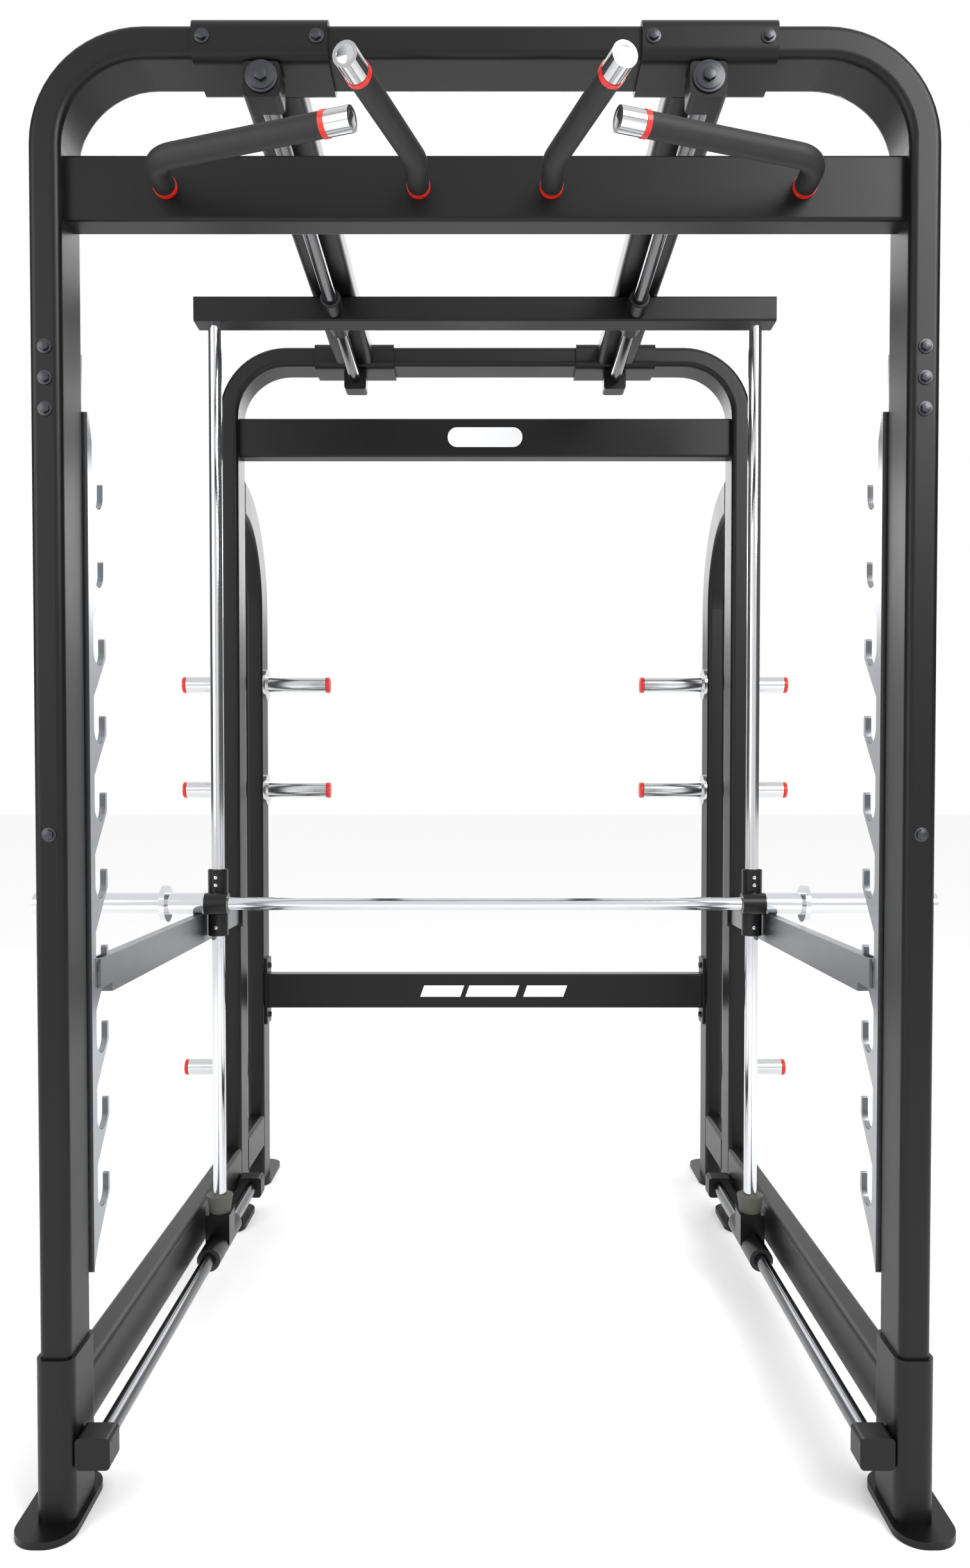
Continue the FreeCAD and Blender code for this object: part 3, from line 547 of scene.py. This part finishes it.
@dataclass
class Bearings:
    """Seals, clamp screws and plugs on everything that slides."""

    seal_depth: float = 3.0 * MM
    seal_bore: float = 15.3 * MM
    seal_edge: float = 0.6 * MM
    top_seal_inset: float = 1.2 * MM
    bottom_seal_radius: float = 24.5 * MM
    slider_seal_radius: float = 21.8 * MM
    screw_radius: float = 4.16 * MM
    screw_depth: float = 2.8 * MM
    screw_sides: int = 24
    screw_seat: float = 22.6 * MM
    screw_rises: tuple[float, ...] = (-58 * MM, 40 * MM, 58 * MM)
    screw_edge: float = 0.5 * MM
    plug_depth: float = 3.0 * MM
    plug_sink: float = 0.4 * MM
    plug_margin: float = 9 * MM
    plug_edge: float = 1.0 * MM

    def housing_seals(self) -> None:
        """Puts a wiper seal on both ends of each housing that runs on a rail."""
        piece = Piece("rail_wiper_seals", BLACK_ABS, Body.CARRIAGE, "bearing_black")
        for tube in shells("top_bearing_housings"):
            radius = tube.size.x / 2 - self.top_seal_inset
            for end in (tube.low.y, tube.high.y):
                middle = Vector((tube.centre.x, end, tube.centre.z))
                piece.ring(middle, FORWARD, radius, self.seal_bore, self.seal_depth)
        for side in ("left", "right"):
            tube = shell(f"{side}_lower_carriage")
            rail = shell(f"{side}_bottom_rail")
            for end in (tube.low.y, tube.high.y):
                middle = Vector((rail.centre.x, end, rail.centre.z))
                piece.ring(middle, FORWARD, self.bottom_seal_radius, self.seal_bore, self.seal_depth)
        piece.soften(self.seal_edge)
        piece.place()

    def slider_seals(self) -> None:
        """Puts a wiper seal on the top and bottom of each bar slider."""
        piece = Piece("slider_wiper_seals", BLACK_ABS, Body.SLIDERS, "bearing_black")
        for side in ("left", "right"):
            tube = shell(f"{side}_bar_slider")
            rod = shell(f"{side}_guide_rod")
            for end in (tube.low.z, tube.high.z):
                middle = Vector((rod.centre.x, rod.centre.y, end))
                piece.ring(middle, UP, self.slider_seal_radius, self.seal_bore, self.seal_depth)
        piece.soften(self.seal_edge)
        piece.place()

    def clamp_screws(self) -> None:
        """Sets three bright screws in each slider, two above the bar and one below it."""
        piece = Piece("slider_clamp_screws", BRIGHT_CHROME, Body.SLIDERS, "horn_chrome")
        bar = shell("bar")
        for side in ("left", "right"):
            tube = shell(f"{side}_bar_slider")
            rod = shell(f"{side}_guide_rod")
            for rise in self.screw_rises:
                seat = Vector((tube.centre.x, rod.centre.y - self.screw_seat, bar.centre.z + rise))
                middle = seat + FORWARD * self.screw_depth / 2
                piece.disc(middle, FORWARD, self.screw_radius, self.screw_depth, self.screw_sides)
        piece.soften(self.screw_edge)
        piece.place()

    def tube_plugs(self) -> None:
        """Closes both open ends of the carriage's square crossbar."""
        piece = Piece("crossbar_end_plugs", BLACK_ABS, Body.CARRIAGE, "bearing_black")
        tube = shell("carriage_crossbar")
        size = Vector((self.plug_depth, tube.size.y - self.plug_margin, tube.size.z - self.plug_margin))
        for end in (tube.low.x, tube.high.x):
            face = Vector((end, tube.centre.y, tube.centre.z))
            piece.block(face - sideways(end) * (self.plug_depth / 2 + self.plug_sink), size)
        piece.soften(self.plug_edge)
        piece.place()


@dataclass
class Sleeves:
    """The plugs in the barbell's ends."""

    plug_radius: float = 14.8 * MM
    plug_depth: float = 3.2 * MM
    plug_sink: float = 0.5 * MM
    edge: float = 0.7 * MM

    def ends(self) -> None:
        """Closes each sleeve with a dark steel plug."""
        piece = Piece("sleeve_end_plugs", OXIDE, Body.BARBELL, "bolt_zinc")
        for side in ("left", "right"):
            sleeve = shell(f"{side}_sleeve")
            end = max(sleeve.low.x, sleeve.high.x, key=abs)
            out = sideways(end)
            face = Vector((end, sleeve.centre.y, sleeve.centre.z))
            middle = face - out * (self.plug_sink + self.plug_depth / 2)
            piece.disc(middle, out, self.plug_radius, self.plug_depth)
        piece.soften(self.edge)
        piece.place()


@dataclass
class Markings:
    """Plain decoration where the real machine has lettering.

    Each stripe is given by the place of its middle along X and its width.
    """

    stripe_height: float = 34 * MM
    stripe_depth: float = 0.6 * MM
    stripe_slant: float = 0.35
    stripe_row: tuple[tuple[float, float], ...] = (
        (-128 * MM, 120 * MM),
        (22 * MM, 150 * MM),
        (180 * MM, 120 * MM),
    )

    def stripes(self) -> None:
        """Lays three plain slanted stripes on the lower crossbar's front face."""
        piece = Piece("plain_stripes", WHITE_PLATE, Body.FRAME, "badge_white")
        bar = shell("rear_lower_crossbar")
        rear = shell("rear_upper_crossbar")
        front_y = bar.centre.y - (rear.size.y / 2) - self.stripe_depth / 2
        for place_x, width in self.stripe_row:
            middle = Vector((place_x, front_y, bar.centre.z))
            size = Vector((width, self.stripe_depth, self.stripe_height))
            piece.block(middle, size, self.stripe_slant)
        piece.place()


@dataclass(frozen=True)
class Lamp:
    """One soft square lamp: its place, the side of its face in metres and its power in watts."""

    name: str
    place: tuple[float, float, float]
    size: float
    power: float


LAMPS = (
    Lamp("key_lamp", (2.6, -3.4, 3.8), 2.4, 150.0),
    Lamp("fill_lamp", (-3.2, -2.8, 2.4), 2.8, 70.0),
    Lamp("back_lamp", (0.0, 4.2, 3.6), 3.0, 90.0),
)


@dataclass
class Studio:
    """Pale floor, soft light and the camera."""

    eye_height: float = 1.173
    eye_distance: float = 1.8
    pitch: float = 1.467
    lens: float = 26.385
    sensor: float = 36.0
    lens_shift: float = 0.0247
    floor_reach: float = 60.0
    floor_drop: float = 0.5 * MM
    flag_shade: float = 0.12
    flag_start: float = 0.45
    flag_end: float = 0.75
    aim_height: float = 1.2

    def floor(self) -> None:
        """Lays a large pale floor under the feet."""
        mesh = bmesh.new()
        bmesh.ops.create_grid(mesh, x_segments=1, y_segments=1, size=self.floor_reach)
        data = bpy.data.meshes.new("studio_floor")
        mesh.to_mesh(data)
        mesh.free()
        item = bpy.data.objects.new("studio_floor", data)
        bpy.context.scene.collection.objects.link(item)
        item.location.z = -self.floor_drop
        data.materials.append(Finish("matt_studio_paper", "#fbfbfb", 0.9, wear=0.0).material())

    def hang(self, lamp: Lamp) -> None:
        """Hangs one lamp and turns it towards the machine's middle.

        Args:
            lamp: its name, place, size and power.
        """
        data = bpy.data.lights.new(lamp.name, "AREA")
        data.size = lamp.size
        data.energy = lamp.power
        item = bpy.data.objects.new(lamp.name, data)
        item.location = lamp.place
        way = Vector((0.0, 0.0, self.aim_height)) - Vector(lamp.place)
        item.rotation_euler = way.to_track_quat("-Z", "Y").to_euler()
        bpy.context.scene.collection.objects.link(item)

    def light(self) -> None:
        """Sets three soft lamps in a pale surround, with dark flags to both sides that metal mirrors."""
        world = bpy.data.worlds.new("pale_studio")
        world.use_nodes = True
        tree = world.node_tree
        surround = tree.nodes["Background"]
        surround.inputs["Color"].default_value = linear("#ffffff")
        way = add_node(tree, "ShaderNodeTexCoord", {}, {}).outputs["Generated"]
        parts = add_node(tree, "ShaderNodeSeparateXYZ", {}, {"Vector": way})
        aside = add_node(tree, "ShaderNodeMath", {"operation": "ABSOLUTE"}, {0: parts.outputs["X"]})
        fade = {
            "From Min": self.flag_start,
            "From Max": self.flag_end,
            "To Min": 1.0,
            "To Max": self.flag_shade,
        }
        flags = add_node(tree, "ShaderNodeMapRange", fade, {"Value": aside.outputs["Value"]})
        shaded = add_node(tree, "ShaderNodeBackground", {}, {"Color": flags.outputs["Result"]})
        mirrored = add_node(tree, "ShaderNodeLightPath", {}, {}).outputs["Is Glossy Ray"]
        feeds = {0: mirrored, 1: surround.outputs[0], 2: shaded.outputs[0]}
        mix = add_node(tree, "ShaderNodeMixShader", {}, feeds)
        tree.links.new(mix.outputs[0], tree.nodes["World Output"].inputs["Surface"])
        bpy.context.scene.world = world
        bpy.context.scene.view_settings.view_transform = "Standard"
        for lamp in LAMPS:
            self.hang(lamp)

    def camera(self) -> None:
        """Sets the camera in front of the machine, a little above its middle."""
        arch = shell("front_frame")
        data = bpy.data.cameras.new("studio_camera")
        data.sensor_fit = "VERTICAL"
        data.sensor_height = self.sensor
        data.lens = self.lens
        data.shift_y = self.lens_shift
        item = bpy.data.objects.new("studio_camera", data)
        item.location = (0.0, arch.low.y - self.eye_distance, self.eye_height)
        item.rotation_euler = (math.radians(90 - self.pitch), 0.0, 0.0)
        bpy.context.scene.collection.objects.link(item)
        bpy.context.scene.camera = item


RAIL_NODES = ("left_top_rail", "right_top_rail", "left_bottom_rail", "right_bottom_rail")


def dress_frame() -> None:
    """Gives every CAD node the finish of its material slot, except the rails, which get the darker shaft
    colour with its painted dark reflection.
    """
    for entry in frame["record"]["subparts"]:
        node = frame["nodes"][entry["node"]]
        # The rails take the darker shaft colour, a painted dark reflection, in place of their chrome slot's
        # finish.
        finish = SHAFT_PAINTED_DARK if entry["node"] in RAIL_NODES else SLOT_FINISHES[entry["material_slot"]]
        if not node.material_slots:
            node.data.materials.append(finish.material())
        for holder in node.material_slots:
            holder.material = finish.material()
        log.info("%s: %s", entry["node"], finish.name)


def main() -> None:
    """Dresses the CAD, builds every added piece in order and sets the studio."""
    logging.basicConfig(level=logging.INFO, format="%(message)s")
    dress_frame()
    fasteners = Fasteners()
    fasteners.frame_bolts()
    fasteners.rail_ends()
    fasteners.anchors()
    Handles().tips()
    Pegs().caps()
    bearings = Bearings()
    bearings.housing_seals()
    bearings.slider_seals()
    bearings.clamp_screws()
    bearings.tube_plugs()
    Sleeves().ends()
    Markings().stripes()
    studio = Studio()
    studio.floor()
    studio.light()
    studio.camera()


if __name__ == "__main__":
    main()
